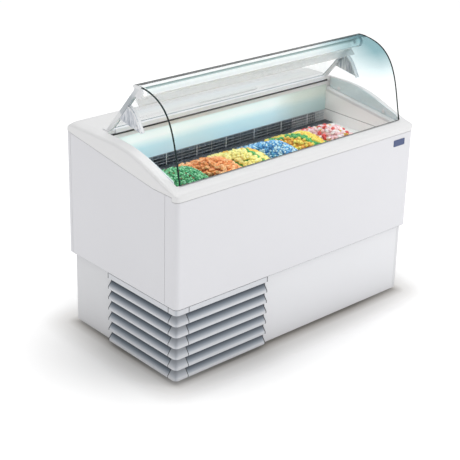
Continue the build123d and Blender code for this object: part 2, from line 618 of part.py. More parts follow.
def make_supports():
    """End supports: hub, sloping strut, foot and forward wing, with both pivot pins."""
    foot_along = (AXIS_Z - SHELF_Z) / sin(radians(FLAP_ANGLE)) + 12
    strut = side_prism([flap_point(0, 3), flap_point(foot_along, 3), flap_point(foot_along + 10, 21),
                        flap_point(0, 21)], SUPPORT_IN, SUPPORT_OUT)
    strut -= block(500, 700, 0, DEPTH, 0, SHELF_Z)
    hub = rod_x(AXIS_D, AXIS_Z, HUB_R, SUPPORT_IN, SUPPORT_OUT)
    pin = rod_x(AXIS_D, AXIS_Z, PIVOT_R, SUPPORT_IN - 13, SUPPORT_IN + 1)
    hinge = flap_point(FLAP_HINGE_ALONG, FLAP_OFFSET)
    flap_pin = rod_x(hinge[0], hinge[1], 3, FLAP_HALF - 8, SUPPORT_IN + 1)
    foot = block(594, 622, SHELF_FRONT + 1, SHELF_FRONT + 40, SHELF_Z, SHELF_Z + 4)
    front = DEPTH / 2
    curve = Spline((376 - front, 1057), (343 - front, 1041), (316 - front, 1008), (290 - front, 967))
    inner = Spline((376 - front, 1053), (345 - front, 1037), (319 - front, 1005), (293 - front, 965))
    strip_face = Plane.YZ * make_face([curve, Line(curve @ 1, inner @ 1), inner,
                                       Line(curve @ 0, inner @ 0)])
    strip = Pos(SUPPORT_OUT - 20, 0, 0) * extrude(strip_face, 20)
    web_face = Plane.YZ * make_face([inner, Polyline(inner @ 1, (434 - front, 988), inner @ 0)])
    web = Pos(SUPPORT_OUT - 8, 0, 0) * extrude(web_face, 4)
    boss = rod_x(317, 984, 6, SUPPORT_OUT - 8, SUPPORT_OUT + 1)
    right = strut + hub + pin + flap_pin + foot + strip + web + boss
    add("right_glass_support", right)
    add("left_glass_support", mirrored(right))

    rail = side_prism([(316, 1069), (318, 1067), (338, 1086), (336, 1088)], -SUPPORT_IN, SUPPORT_IN)
    rail += side_prism([(313, 1071), (315.5, 1066.5), (318, 1067), (316, 1069)],
                       -SUPPORT_IN, SUPPORT_IN)
    rail += side_prism([(335.5, 1087.6), (338, 1086), (333, 1107), (330.5, 1108)],
                       -SUPPORT_IN, SUPPORT_IN)
    add("canopy_rail", rail)


def make_flap():
    """Clear rear flap on its hinge rail, with a full-width pull."""
    hinge = flap_point(FLAP_HINGE_ALONG, FLAP_OFFSET)
    bottom_along = (AXIS_Z + FLAP_OFFSET * cos(radians(FLAP_ANGLE)) - FLAP_BOTTOM_Z) / sin(
        radians(FLAP_ANGLE))
    lo, hi = FLAP_OFFSET - FLAP_T / 2, FLAP_OFFSET + FLAP_T / 2
    start = FLAP_HINGE_ALONG + 4
    pane = side_prism([flap_point(start, lo), flap_point(bottom_along - 3, lo),
                       flap_point(bottom_along - 3, hi), flap_point(start, hi)],
                      -FLAP_HALF, FLAP_HALF)
    add("rear_flap_pane", pane - rod_x(hinge[0], hinge[1], 6, -700, 700))
    rail = rod_x(hinge[0], hinge[1], 6, -FLAP_HALF, FLAP_HALF)
    for x0, x1 in ((-FLAP_HALF - 1, -FLAP_HALF + 12), (FLAP_HALF - 12, FLAP_HALF + 1)):
        rail -= rod_x(hinge[0], hinge[1], 3 + RUNNING_GAP, x0, x1)
    add("flap_hinge_rail", rail)
    pull = side_prism([flap_point(bottom_along - 40, hi), flap_point(bottom_along - 20, hi),
                       flap_point(bottom_along - 24, hi + 12), flap_point(bottom_along - 32, hi + 12)],
                      -160, 160)
    add("flap_pull", pull)


def make_trim():
    """Rear channel and gasket, side glass strips with their buttons, and the blank badge."""
    channel = side_prism([(483, 909), (SHELF_FRONT, 909), (SHELF_FRONT, SHELF_Z), (508, SHELF_Z),
                          (508, 926), (505, 926), (505, 923), (488, 923), (488, 926), (483, 926)],
                         -FLAP_HALF, FLAP_HALF)
    add("rear_channel", channel)
    add("rear_gasket", block(-WELL_HALF, WELL_HALF, 482, SHELF_FRONT, 902, 908.5))

    top = [(73, 844), (154, 870), (240, 896), (300, 908), (400, 915), (478, 916)]
    front = DEPTH / 2
    top_line = Spline(*[(d - front, z) for d, z in top])
    low = [(478, LEDGE_START + 1 + LEDGE_RISE * 478), (66, LEDGE_START + 1 + LEDGE_RISE * 66)]
    rest = Polyline(top_line @ 1, *[(d - front, z) for d, z in low], top_line @ 0)
    face = Plane.YZ * make_face([top_line, rest])
    inner_x = HALF_W - RIM_SIDE_THICK
    strip = Pos(inner_x - 4, 0, 0) * extrude(face, 4)
    add("side_glass_strips", Compound(children=[strip, mirrored(strip)]))
    buttons = []
    for d, z in ((421, 877), (145, 843)):
        button = rod_x(d, z, 9, inner_x - 8, inner_x - 4)
        button = fillet(button.edges().filter_by(GeomType.CIRCLE).sort_by(Axis.X)[:1], 1.5)
        buttons += [button, mirrored(button)]
    add("side_glass_buttons", Compound(children=buttons))
    badge = block(545, 615, 0.1, SKIN_INSET, 733, 763)
    add("blank_badge", fillet(badge.edges().filter_by(Axis.Y), 4))


def main():
    rim = make_top_rim()
    add("top_rim", rim)
    make_body(rim)
    make_grilles()
    make_base()
    make_machine()
    make_cold_parts()
    make_pans()
    make_glass()
    make_supports()
    make_flap()
    make_trim()
    os.makedirs("parts", exist_ok=True)
    for name, shape in PARTS.items():
        export_step(shape, f"parts/{name}.step")
    print(len(PARTS), "nodes")


main()
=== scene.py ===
"""Looks of the ice cream dipping cabinet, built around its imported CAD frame.  Metres, Z up."""

import json
import math
import random

import bpy
import bmesh
from mathutils import Euler, Matrix, Vector, noise


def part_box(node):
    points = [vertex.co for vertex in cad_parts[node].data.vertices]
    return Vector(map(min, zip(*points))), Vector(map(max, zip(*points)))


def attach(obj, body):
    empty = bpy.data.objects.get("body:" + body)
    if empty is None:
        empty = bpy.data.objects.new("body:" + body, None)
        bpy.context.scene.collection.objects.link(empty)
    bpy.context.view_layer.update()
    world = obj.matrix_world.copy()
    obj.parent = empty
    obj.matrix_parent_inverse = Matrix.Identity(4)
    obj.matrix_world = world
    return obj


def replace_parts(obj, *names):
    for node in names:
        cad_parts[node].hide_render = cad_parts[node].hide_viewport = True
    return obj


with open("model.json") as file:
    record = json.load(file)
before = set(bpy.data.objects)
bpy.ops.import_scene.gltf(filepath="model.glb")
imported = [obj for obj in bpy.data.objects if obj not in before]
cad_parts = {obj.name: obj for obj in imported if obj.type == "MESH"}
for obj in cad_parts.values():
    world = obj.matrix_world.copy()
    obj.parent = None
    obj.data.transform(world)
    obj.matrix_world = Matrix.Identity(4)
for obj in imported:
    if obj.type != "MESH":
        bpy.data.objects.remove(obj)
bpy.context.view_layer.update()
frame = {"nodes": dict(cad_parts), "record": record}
nodes = frame["nodes"]
slots = {part["node"]: part["material_slot"] for part in frame["record"]["subparts"]}

# Main places of the cabinet
rim_low, rim_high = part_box("top_rim")
FRONT_Y = rim_low.y
HALF_W = rim_high.x
AXIS_Y, AXIS_Z = FRONT_Y + 0.309, 1.128      # axis of the canopy tube
FLAP_SLOPE = math.radians(49.6)              # of the rear flap and the struts
# The grille end and panel widths are of painted shadow lines in the gaps beside the grille's ends.
CORNER_JOINT, GRILLE_END_GAP_SHADOW, PANEL_GAP_SHADOW = 0.0016, 0.0022, 0.0018   # half widths of the joints


# ---------------------------------------------------------------- node helpers
def link(tree, source, target):
    tree.links.new(source, target)


def new_material(name, color, rough, metallic=0.0):
    """A material with one Principled shader, and its object coordinates."""
    material = bpy.data.materials.new(name)
    material.use_nodes = True
    tree = material.node_tree
    shader = tree.nodes["Principled BSDF"]
    shader.inputs["Base Color"].default_value = (*color, 1)
    shader.inputs["Roughness"].default_value = rough
    shader.inputs["Metallic"].default_value = metallic
    coords = tree.nodes.new("ShaderNodeTexCoord")
    return material, tree, shader, coords.outputs["Object"]


def mapped(tree, coords, scale):
    mapping = tree.nodes.new("ShaderNodeMapping")
    mapping.inputs["Scale"].default_value = scale
    link(tree, coords, mapping.inputs["Vector"])
    return mapping.outputs["Vector"]


def separate(tree, coords):
    node = tree.nodes.new("ShaderNodeSeparateXYZ")
    link(tree, coords, node.inputs["Vector"])
    return node.outputs


def noise_value(tree, coords, scale, detail=4.0, rough=0.55, distortion=0.0):
    node = tree.nodes.new("ShaderNodeTexNoise")
    node.inputs["Scale"].default_value = scale
    node.inputs["Detail"].default_value = detail
    node.inputs["Roughness"].default_value = rough
    node.inputs["Distortion"].default_value = distortion
    link(tree, coords, node.inputs["Vector"])
    return node.outputs["Fac"]


def fill_inputs(tree, node, values):
    """Links sockets to a node's inputs, and sets the inputs that are given as numbers."""
    for socket, value in zip(node.inputs, values):
        if isinstance(value, bpy.types.NodeSocket):
            link(tree, value, socket)
        else:
            socket.default_value = value


def math_value(tree, operation, *values):
    node = tree.nodes.new("ShaderNodeMath")
    node.operation = operation
    fill_inputs(tree, node, values)
    return node.outputs["Value"]


def vector_math(tree, operation, *values):
    node = tree.nodes.new("ShaderNodeVectorMath")
    node.operation = operation
    fill_inputs(tree, node, values)
    return node.outputs


def dot_along(tree, coords, origin, direction):
    """Distance along a direction from an origin."""
    shifted = vector_math(tree, "SUBTRACT", coords, origin)["Vector"]
    return vector_math(tree, "DOT_PRODUCT", shifted, direction)["Value"]


def ramp(tree, value, stops):
    """Colour ramp from a list of (position, colour) stops."""
    node = tree.nodes.new("ShaderNodeValToRGB")
    elements = node.color_ramp.elements
    while len(elements) < len(stops):
        elements.new(0.5)
    for element, (position, color) in zip(elements, stops):
        element.position = position
        element.color = (*color, 1)
    link(tree, value, node.inputs["Fac"])
    return node.outputs["Color"]


def remap(tree, value, low, high, out_low=0.0, out_high=1.0):
    node = tree.nodes.new("ShaderNodeMapRange")
    for name, number in (("From Min", low), ("From Max", high), ("To Min", out_low),
                         ("To Max", out_high)):
        node.inputs[name].default_value = number
    link(tree, value, node.inputs["Value"])
    return node.outputs["Result"]


def mix_color(tree, factor, a, b, kind="MIX"):
    """Mix of two colours. Each of them is a socket or an RGB tuple."""
    node = tree.nodes.new("ShaderNodeMix")
    node.data_type = "RGBA"
    node.blend_type = kind
    if isinstance(factor, float):
        node.inputs["Factor"].default_value = factor
    else:
        link(tree, factor, node.inputs["Factor"])
    for socket, value in ((node.inputs["A"], a), (node.inputs["B"], b)):
        if isinstance(value, tuple):
            socket.default_value = (*value, 1)
        else:
            link(tree, value, socket)
    return node.outputs["Result"]


def multiply(tree, a, b):
    return mix_color(tree, 1.0, a, b, "MULTIPLY")


def bands(tree, axes, places):
    """Mask that is 1 within a half width of any of the (axis, place, half width) planes."""
    mask = 0.0
    for axis, place, half in places:
        near = math_value(tree, "COMPARE", axes[axis], place, half)
        mask = math_value(tree, "MAXIMUM", mask, near)
    return mask


def paint(tree, shader, color):
    link(tree, color, shader.inputs["Base Color"])


def uneven_gloss(tree, shader, value, low, high, value_high=0.7):
    """Roughness between two numbers that follows a noise value."""
    link(tree, remap(tree, value, 0.3, value_high, low, high), shader.inputs["Roughness"])


def bumped(tree, shader, height, strength, distance, edge=0.0):
    """Bump from a height, over edges that are rounded in shading by the given radius."""
    bump = tree.nodes.new("ShaderNodeBump")
    bump.inputs["Strength"].default_value = strength
    bump.inputs["Distance"].default_value = distance
    link(tree, height, bump.inputs["Height"])
    if edge:
        bevel = tree.nodes.new("ShaderNodeBevel")
        bevel.samples = 3
        bevel.inputs["Radius"].default_value = edge
        link(tree, bevel.outputs["Normal"], bump.inputs["Normal"])
    link(tree, bump.outputs["Normal"], shader.inputs["Normal"])


def shade(color, factor):
    return tuple(min(1.0, c * factor) for c in color)


# ---------------------------------------------------------------- general materials
def coated(name, color, rough, grain=900.0, depth=0.00006, mottling=0.03, edge=0.0012, coat=0.0):
    """Powder coat, moulded plastic or enamel: faint mottling, uneven gloss and a fine texture."""
    material, tree, shader, coords = new_material(name, color, rough)
    cloud = noise_value(tree, coords, 3.2, 5.0)
    fine = noise_value(tree, coords, 55.0, 3.0)
    dull = shade(color, 1 - mottling)
    tone = ramp(tree, cloud, [(0.3, dull), (0.7, shade(color, 1 + mottling / 2))])
    speck = ramp(tree, fine, [(0.35, dull), (0.65, color)])
    paint(tree, shader, mix_color(tree, 0.4, tone, speck))
    uneven_gloss(tree, shader, fine, rough * 0.85, min(1.0, rough * 1.15))
    shader.inputs["Coat Weight"].default_value = coat
    bumped(tree, shader, noise_value(tree, coords, grain, 2.0), 0.35, depth, edge)
    return material


def brushed(name, color, rough, stretch):
    """Metal with fine brushing along the axis of the smallest stretch."""
    material, tree, shader, coords = new_material(name, color, rough, 1.0)
    lines = noise_value(tree, mapped(tree, coords, stretch), 1.0, 3.0)
    broad = noise_value(tree, mapped(tree, coords, tuple(s / 14 for s in stretch)), 1.0, 3.0)
    paint(tree, shader, ramp(tree, broad, [(0.3, shade(color, 0.84)), (0.7, shade(color, 1.06))]))
    uneven_gloss(tree, shader, lines, rough * 0.75, rough * 1.3)
    bumped(tree, shader, lines, 0.4, 0.00008, 0.0006)
    return material


def galvanised(name, color):
    """Sheet with a spangle of zinc crystals."""
    material, tree, shader, coords = new_material(name, color, 0.42, 0.9)
    cells = tree.nodes.new("ShaderNodeTexVoronoi")
    cells.inputs["Scale"].default_value = 130.0
    link(tree, coords, cells.inputs["Vector"])
    crystals = [(0.1, shade(color, 0.8)), (0.9, shade(color, 1.1))]
    paint(tree, shader, ramp(tree, cells.outputs["Color"], crystals))
    link(tree, remap(tree, cells.outputs["Distance"], 0.0, 0.7, 0.34, 0.52),
         shader.inputs["Roughness"])
    bumped(tree, shader, noise_value(tree, coords, 400.0), 0.3, 0.00008, 0.0006)
    return material


def rubber(name, color, rough=0.6):
    """Dusty rubber."""
    material, tree, shader, coords = new_material(name, color, rough)
    fine = noise_value(tree, coords, 320.0, 4.0)
    dust = noise_value(tree, coords, 24.0, 5.0)
    dusty = tuple(c * 1.5 + 0.012 for c in color)
    paint(tree, shader, ramp(tree, dust, [(0.35, color), (0.8, dusty)]))
    uneven_gloss(tree, shader, dust, rough * 0.85, min(1.0, rough * 1.25), 0.8)
    bumped(tree, shader, fine, 0.5, 0.0001, 0.0008)
    return material


def glassy(name, tint, ior, corner_reflection=False):
    """Clear pane that lamps shine through. It can carry a painted reflection that deepens to teal
    towards its upper right.
    """
    material, tree, shader, coords = new_material(name, tint, 0.0)
    shader.inputs["Transmission Weight"].default_value = 1.0
    shader.inputs["IOR"].default_value = ior
    shader.inputs["Specular IOR Level"].default_value = 0.2
    bumped(tree, shader, noise_value(tree, coords, 7.0, 2.0), 0.15, 0.00002)
    smear = noise_value(tree, coords, 5.0, 6.0, 0.6, 0.4)
    tone = ramp(tree, smear, [(0.3, shade(tint, 0.985)), (0.7, tint)])
    if corner_reflection:
        # Painted reflection: the pane darkens to teal towards its upper right.
        axes = separate(tree, coords)
        rightward = remap(tree, axes["X"], 0.30, 0.56)
        upward = remap(tree, axes["Z"], 1.00, 1.12)
        corner = math_value(tree, "MULTIPLY", rightward, upward)
        deep = ramp(tree, corner, [(0.0, (1, 1, 1)), (0.40, (0.74, 0.85, 0.87)),
                                   (1.0, (0.28, 0.46, 0.50))])
        tone = multiply(tree, tone, deep)
    paint(tree, shader, tone)
    path = tree.nodes.new("ShaderNodeLightPath")
    clear = tree.nodes.new("ShaderNodeBsdfTransparent")
    clear.inputs["Color"].default_value = (*shade(tint, 0.98), 1)
    mix = tree.nodes.new("ShaderNodeMixShader")
    output = tree.nodes["Material Output"]
    link(tree, path.outputs["Is Shadow Ray"], mix.inputs["Fac"])
    link(tree, shader.outputs["BSDF"], mix.inputs[1])
    link(tree, clear.outputs["BSDF"], mix.inputs[2])
    link(tree, mix.outputs["Shader"], output.inputs["Surface"])
    return material


def glass_edge(name, color):
    """Ground edge of a pane, where the glass shows its own green."""
    material, tree, shader, coords = new_material(name, color, 0.22)
    streaks = noise_value(tree, mapped(tree, coords, (900, 40, 40)), 1.0, 3.0)
    paint(tree, shader, ramp(tree, streaks, [(0.3, shade(color, 0.6)), (0.7, shade(color, 1.3))]))
    uneven_gloss(tree, shader, streaks, 0.15, 0.3)
    shader.inputs["Specular IOR Level"].default_value = 0.2
    bumped(tree, shader, streaks, 0.3, 0.00005)
    return material


def frosted(name, color, alpha):
    """See-through moulded plastic."""
    material, tree, shader, coords = new_material(name, color, 0.3)
    cloud = noise_value(tree, coords, 14.0, 4.0)
    paint(tree, shader, ramp(tree, cloud, [(0.3, shade(color, 0.95)), (0.7, color)]))
    uneven_gloss(tree, shader, cloud, 0.2, 0.35)
    shader.inputs["Alpha"].default_value = alpha
    bumped(tree, shader, noise_value(tree, coords, 300.0), 0.3, 0.00005)
    return material


def anodised(name, color):
    """Satin metal strip with faint lengthwise lines."""
    material, tree, shader, coords = new_material(name, color, 0.45, 0.1)
    lines = noise_value(tree, mapped(tree, coords, (5, 500, 500)), 1.0, 3.0)
    paint(tree, shader, ramp(tree, lines, [(0.3, shade(color, 0.93)), (0.7, shade(color, 1.05))]))
    uneven_gloss(tree, shader, lines, 0.38, 0.52)
    bumped(tree, shader, lines, 0.3, 0.00005, 0.0005)
    return material


def frozen(name, dark, middle, light, cell=160.0):
    """Ice cream or candied fruit: uneven colour, icy speckle and a thin wet glaze."""
    dark, middle, light = shade(dark, 0.9), shade(middle, 1.15), shade(light, 1.2)
    material, tree, shader, coords = new_material(name, middle, 0.5)
    wave = noise_value(tree, coords, cell, 5.0, 0.6, 0.3)
    broad = noise_value(tree, coords, cell * 0.28, 3.0)
    tone = ramp(tree, wave, [(0.28, dark), (0.5, middle), (0.72, light)])
    lift = ramp(tree, broad, [(0.3, shade(middle, 0.86)), (0.7, light)])
    paint(tree, shader, mix_color(tree, 0.28, tone, lift))
    uneven_gloss(tree, shader, broad, 0.32, 0.62)
    shader.inputs["Subsurface Weight"].default_value = 0.12
    shader.inputs["Subsurface Radius"].default_value = (0.004, 0.003, 0.002)
    shader.inputs["Coat Weight"].default_value = 0.12
    shader.inputs["Coat Roughness"].default_value = 0.25
    bumped(tree, shader, noise_value(tree, coords, cell * 5.5, 4.0), 0.5, 0.0006)
    return material


# ---------------------------------------------------------------- materials of single pieces
def glowing_panel():
    """Opal panel lit from behind: creamy at the top, pale blue below, dull at its right end."""
    low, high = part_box("light_diffuser")
    material, tree, shader, coords = new_material("diffuser_glow", (0.40, 0.44, 0.44), 0.35)
    axes = separate(tree, coords)
    column = ramp(tree, remap(tree, axes["Z"], low.z, high.z),
                  [(0.0, (0.30, 0.56, 0.70)), (0.40, (0.36, 0.68, 0.80)),
                   (0.72, (0.90, 1.0, 0.98)), (0.9, (0.84, 0.96, 0.93)),
                   (1.0, (0.66, 0.80, 0.78))])
    falloff = ramp(tree, remap(tree, axes["X"], low.x, high.x),
                   [(0.0, (0.72, 0.78, 0.82)), (0.07, (1.05, 1.05, 1.05)),
                    (0.3, (0.97, 0.99, 1.0)), (0.72, (1.0, 1.02, 1.05)),
                    (0.84, (0.54, 0.55, 0.47)), (1.0, (0.38, 0.38, 0.30))])
    cloud = noise_value(tree, coords, 9.0, 3.0)
    softened = ramp(tree, cloud, [(0.3, (0.94, 0.95, 0.96)), (0.7, (1, 1, 1))])
    glow = multiply(tree, multiply(tree, column, falloff), softened)
    link(tree, glow, shader.inputs["Emission Color"])
    shader.inputs["Emission Strength"].default_value = 0.62
    uneven_gloss(tree, shader, cloud, 0.3, 0.42)
    bumped(tree, shader, noise_value(tree, coords, 300.0), 0.2, 0.00005)
    return material


def lit_tube():
    """Lamp with dull ends."""
    low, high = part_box("lamp_tube")
    material, tree, shader, coords = new_material("lamp_glow", (0.9, 0.93, 0.95), 0.3)
    across = remap(tree, separate(tree, coords)["X"], low.x, high.x)
    dull, lit = (0.5, 0.5, 0.5), (0.92, 0.97, 1.0)
    glow = ramp(tree, across, [(0.0, dull), (0.03, lit), (0.97, lit), (1.0, dull)])
    link(tree, glow, shader.inputs["Emission Color"])
    shader.inputs["Emission Strength"].default_value = 1.5
    return material


def louvre_coat(name, joints, paler=0.0):
    """Pale grey moulding. Painted shade darkens the blades the further they run in behind their
    lips.
    """
    material, tree, shader, coords = new_material(name, (0.62, 0.64, 0.68), 0.42)
    axes = separate(tree, coords)
    blade_depth = 0.03
    inset_x = remap(tree, axes["X"], -HALF_W, -HALF_W + blade_depth)
    inset_y = remap(tree, axes["Y"], FRONT_Y, FRONT_Y + blade_depth)
    # Painted shade: the deeper a blade runs in behind its lip, the darker.
    tone = ramp(tree, math_value(tree, "MINIMUM", inset_x, inset_y),
                [(0.0, (0.72, 0.73, 0.76)), (0.10, (0.66, 0.68, 0.72)),
                 (0.22, (0.44, 0.48, 0.54)), (0.42, (0.20, 0.24, 0.29)),
                 (0.62, (0.07, 0.09, 0.12))])
    # A paler piece gets less of the painted shade in its blades.
    if paler:
        tone = mix_color(tree, paler, tone, (0.66, 0.67, 0.70))
    # Dark joint lines at the corner moulding, and painted shadow in the gaps at the grille's ends.
    tone = mix_color(tree, bands(tree, axes, joints), tone, (0.03, 0.035, 0.045))
    fine = noise_value(tree, coords, 60.0, 4.0)
    speck = ramp(tree, fine, [(0.3, (0.96, 0.96, 0.96)), (0.7, (1, 1, 1))])
    paint(tree, shader, multiply(tree, tone, speck))
    uneven_gloss(tree, shader, fine, 0.36, 0.5)
    bumped(tree, shader, noise_value(tree, coords, 900.0), 0.35, 0.00006, 0.0008)
    return material


def paint_with_gap_shadow(name, color, joint):
    """Base panel paint with a painted shadow line in the gap beside the grille."""
    material, tree, shader, coords = new_material(name, color, 0.45)
    cloud = noise_value(tree, coords, 3.2, 5.0)
    tone = ramp(tree, cloud, [(0.3, shade(color, 0.985)), (0.7, shade(color, 1.005))])
    # Painted shadow in the gap beside the grille's end.
    mask = bands(tree, separate(tree, coords), (joint,))
    paint(tree, shader, mix_color(tree, mask, tone, (0.14, 0.145, 0.155)))
    uneven_gloss(tree, shader, cloud, 0.4, 0.5)
    bumped(tree, shader, noise_value(tree, coords, 900.0, 2.0), 0.35, 0.00006, 0.0012)
    return material


def liner_look():
    """White liner with the thin dark joint of its upper frame. It has a faint painted glow."""
    material, tree, shader, coords = new_material("liner_jointed", (0.95, 0.945, 0.93), 0.32)
    cloud = noise_value(tree, coords, 3.2, 5.0)
    tone = ramp(tree, cloud, [(0.3, (0.94, 0.935, 0.92)), (0.7, (0.955, 0.95, 0.935))])
    joint = bands(tree, separate(tree, coords), (("Z", 0.766, 0.0011),))
    paint(tree, shader, mix_color(tree, joint, tone, (0.10, 0.10, 0.10)))
    uneven_gloss(tree, shader, cloud, 0.28, 0.38)
    # Painted glow: the liner is no lamp.
    shader.inputs["Emission Color"].default_value = (1.0, 0.99, 0.97, 1)
    shader.inputs["Emission Strength"].default_value = 0.05
    bumped(tree, shader, noise_value(tree, coords, 700.0, 2.0), 0.3, 0.00005, 0.0008)
    return material


def frame_look():
    """White pan frame whose rear bar under the air guard is painted dark as painted shade, with
    lighter lines across it.
    """
    material, tree, shader, coords = new_material("pan_frame_shaded_rear", (0.93, 0.925, 0.91), 0.35)
    cloud = noise_value(tree, coords, 5.0, 5.0)
    white = ramp(tree, cloud, [(0.3, (0.90, 0.895, 0.88)), (0.7, (0.93, 0.925, 0.91))])
    axes = separate(tree, coords)
    # Painted shade: the rear bar under the air guard is dark, crossed by lighter lines.
    rear = remap(tree, axes["Y"], FRONT_Y + 0.426, FRONT_Y + 0.428)
    places = [("Y", FRONT_Y + 0.434 + 0.009 * k, 0.0010) for k in range(3)]
    bar = mix_color(tree, bands(tree, axes, places), (0.035, 0.042, 0.05), (0.16, 0.18, 0.20))
    paint(tree, shader, mix_color(tree, rear, white, bar))
    uneven_gloss(tree, shader, cloud, 0.3, 0.42)
    bumped(tree, shader, noise_value(tree, coords, 700.0, 2.0), 0.3, 0.00005, 0.0008)
    return material


def tube_coat():
    """White outside. Inside the open channel, painted shade darkens the upper wall over a pale
    floor, and a painted glow lights the inside.
    """
    material, tree, shader, coords = new_material("canopy_tube_white", (0.84, 0.85, 0.86), 0.3)
    origin = (0, AXIS_Y, AXIS_Z)
    downward = dot_along(tree, coords, origin, (0, -0.515, -0.857))
    # Painted shade: dark on the channel's upper inside wall, pale on its lit floor.
    inside = ramp(tree, remap(tree, downward, -0.02, 0.02),
                  [(0.0, (0.05, 0.11, 0.11)), (0.16, (0.10, 0.19, 0.19)),
                   (0.30, (0.45, 0.52, 0.52)), (0.42, (0.92, 0.94, 0.94)),
                   (1.0, (0.97, 0.97, 0.97))])
    offset = vector_math(tree, "SUBTRACT", coords, origin)["Vector"]
    radial = vector_math(tree, "MULTIPLY", offset, (0, 1, 1))["Vector"]
    radius = vector_math(tree, "LENGTH", radial)["Value"]
    outer = remap(tree, radius, 0.0214, 0.0220)
    cloud = noise_value(tree, coords, 6.0, 4.0)
    white = ramp(tree, cloud, [(0.3, (0.83, 0.84, 0.85)), (0.7, (0.86, 0.87, 0.88))])
    paint(tree, shader, mix_color(tree, outer, inside, white))
    # Painted glow inside the channel, which holds no lamp of its own.
    link(tree, mix_color(tree, outer, inside, (0.0, 0.0, 0.0)), shader.inputs["Emission Color"])
    shader.inputs["Emission Strength"].default_value = 0.4
    uneven_gloss(tree, shader, cloud, 0.25, 0.38)
    bumped(tree, shader, noise_value(tree, coords, 900.0), 0.3, 0.00005, 0.0008)
    return material


def support_look():
    """Grey moulded supports, with a ribbed web in the wing whose streaks are painted reflections,
    and a paler foot.
    """
    material, tree, shader, coords = new_material("support_plastic", (0.74, 0.75, 0.77), 0.35)
    c, s = math.cos(FLAP_SLOPE), math.sin(FLAP_SLOPE)
    origin = (0, AXIS_Y, AXIS_Z)
    down = dot_along(tree, coords, origin, (0, c, -s))
    behind = dot_along(tree, coords, origin, (0, s, c))
    strut = ramp(tree, remap(tree, down, 0.0, 0.3),
                 [(0.0, (0.72, 0.74, 0.76)), (0.10, (0.60, 0.63, 0.66)),
                  (0.18, (0.42, 0.46, 0.49)), (0.50, (0.50, 0.53, 0.56)),
                  (0.54, (0.80, 0.81, 0.82))])
    fan = noise_value(tree, mapped(tree, coords, (3, 120, 26)), 1.0, 2.0, 0.6, 0.6)
    # Painted reflections: dark and pale streaks across the web.
    web = ramp(tree, fan, [(0.32, (0.34, 0.38, 0.44)), (0.5, (0.60, 0.63, 0.68)),
                           (0.66, (0.84, 0.85, 0.87))])
    reach = math_value(tree, "ABSOLUTE", separate(tree, coords)["X"])
    out, within = (0, 0, 0), (1, 1, 1)
    in_web = ramp(tree, remap(tree, reach, 0.590, 0.620),
                  [(0.0, out), (0.53, out), (0.54, within), (0.69, within), (0.70, out)])
    wing = mix_color(tree, in_web, (0.80, 0.81, 0.83), web)
    rear = remap(tree, behind, 0.0020, 0.0026)
    paint(tree, shader, mix_color(tree, rear, wing, strut))
    uneven_gloss(tree, shader, fan, 0.28, 0.42)
    bumped(tree, shader, fan, 0.3, 0.0004, 0.0008)
    return material


# Dark lines as (axis, place, half width): the joints on both sides of the corner moulding, then
# painted shadow in the gaps at the far ends of the front and side grilles
GRILLE_JOINTS_AND_GAP_SHADOWS = (("X", -0.6045, CORNER_JOINT), ("Y", FRONT_Y + 0.049, CORNER_JOINT),
                 ("X", -0.1868, GRILLE_END_GAP_SHADOW), ("Y", FRONT_Y + 0.4382, GRILLE_END_GAP_SHADOW))
MATERIALS = {
    "body_paint": coated("body_paint", (0.755, 0.755, 0.785), 0.42, mottling=0.012),
    "base_paint": coated("base_paint", (0.74, 0.745, 0.765), 0.45, mottling=0.015),
    "rim_moulding": coated("rim_moulding", (0.80, 0.80, 0.805), 0.34, 900.0, 0.00004, 0.006),
    "grille_plastic": louvre_coat("grille_plastic", GRILLE_JOINTS_AND_GAP_SHADOWS),
    # Grey rather than the foam's own tan: painted shade where the foam shows in the gap under the
    # rim.
    "foam": coated("foam", (0.42, 0.42, 0.41), 0.9, 260.0, 0.0006, 0.08, 0.0),
    "frame_steel": coated("frame_steel", (0.13, 0.135, 0.14), 0.5),
    "galvanised": galvanised("galvanised", (0.55, 0.56, 0.57)),
    "stainless": brushed("stainless", (0.66, 0.67, 0.68), 0.28, (700, 6, 700)),
    "fin_aluminium": brushed("fin_aluminium", (0.45, 0.49, 0.54), 0.4, (700, 700, 6)),
    "channel_aluminium": anodised("channel_aluminium", (0.84, 0.85, 0.88)),
    "rail_grey": frosted("rail_grey", (0.80, 0.81, 0.81), 0.5),
    "canopy_white": coated("canopy_white", (0.84, 0.85, 0.86), 0.32, mottling=0.01),
    "glass_clear": glassy("glass_clear", (0.985, 0.996, 0.993), 1.14, corner_reflection=True),
    "flap_clear": glassy("flap_clear", (0.985, 0.994, 0.994), 1.2),
    "strip_blue": coated("strip_blue", (0.76, 0.87, 0.90), 0.25, 300.0, 0.00004, 0.04, 0.0, 0.5),
    "support_plastic": support_look(),
    "gasket_rubber": rubber("gasket_rubber", (0.022, 0.022, 0.025)),
    "foot_rubber": rubber("foot_rubber", (0.03, 0.03, 0.032), 0.7),
    "diffuser_glow": glowing_panel(),
    "lamp_glow": lit_tube(),
    "black_plastic": coated("black_plastic", (0.025, 0.025, 0.027), 0.45, 1400.0, 0.00012, 0.1,
                            0.0008),
    "compressor_black": coated("compressor_black", (0.02, 0.02, 0.022), 0.3, mottling=0.1),
    "badge_blue": coated("badge_blue", (0.035, 0.065, 0.19), 0.3, mottling=0.1, edge=0.0006,
                         coat=0.2),
}
GLASS_EDGE = glass_edge("glass_edge", (0.006, 0.022, 0.022))
RAIL_WIRE = coated("rail_wire", (0.36, 0.39, 0.43), 0.4, edge=0.0)
UPRIGHT_WIRE = coated("upright_wire", (0.86, 0.88, 0.9), 0.4, edge=0.0)
FLAP_EDGE = glass_edge("flap_edge", (0.16, 0.26, 0.27))

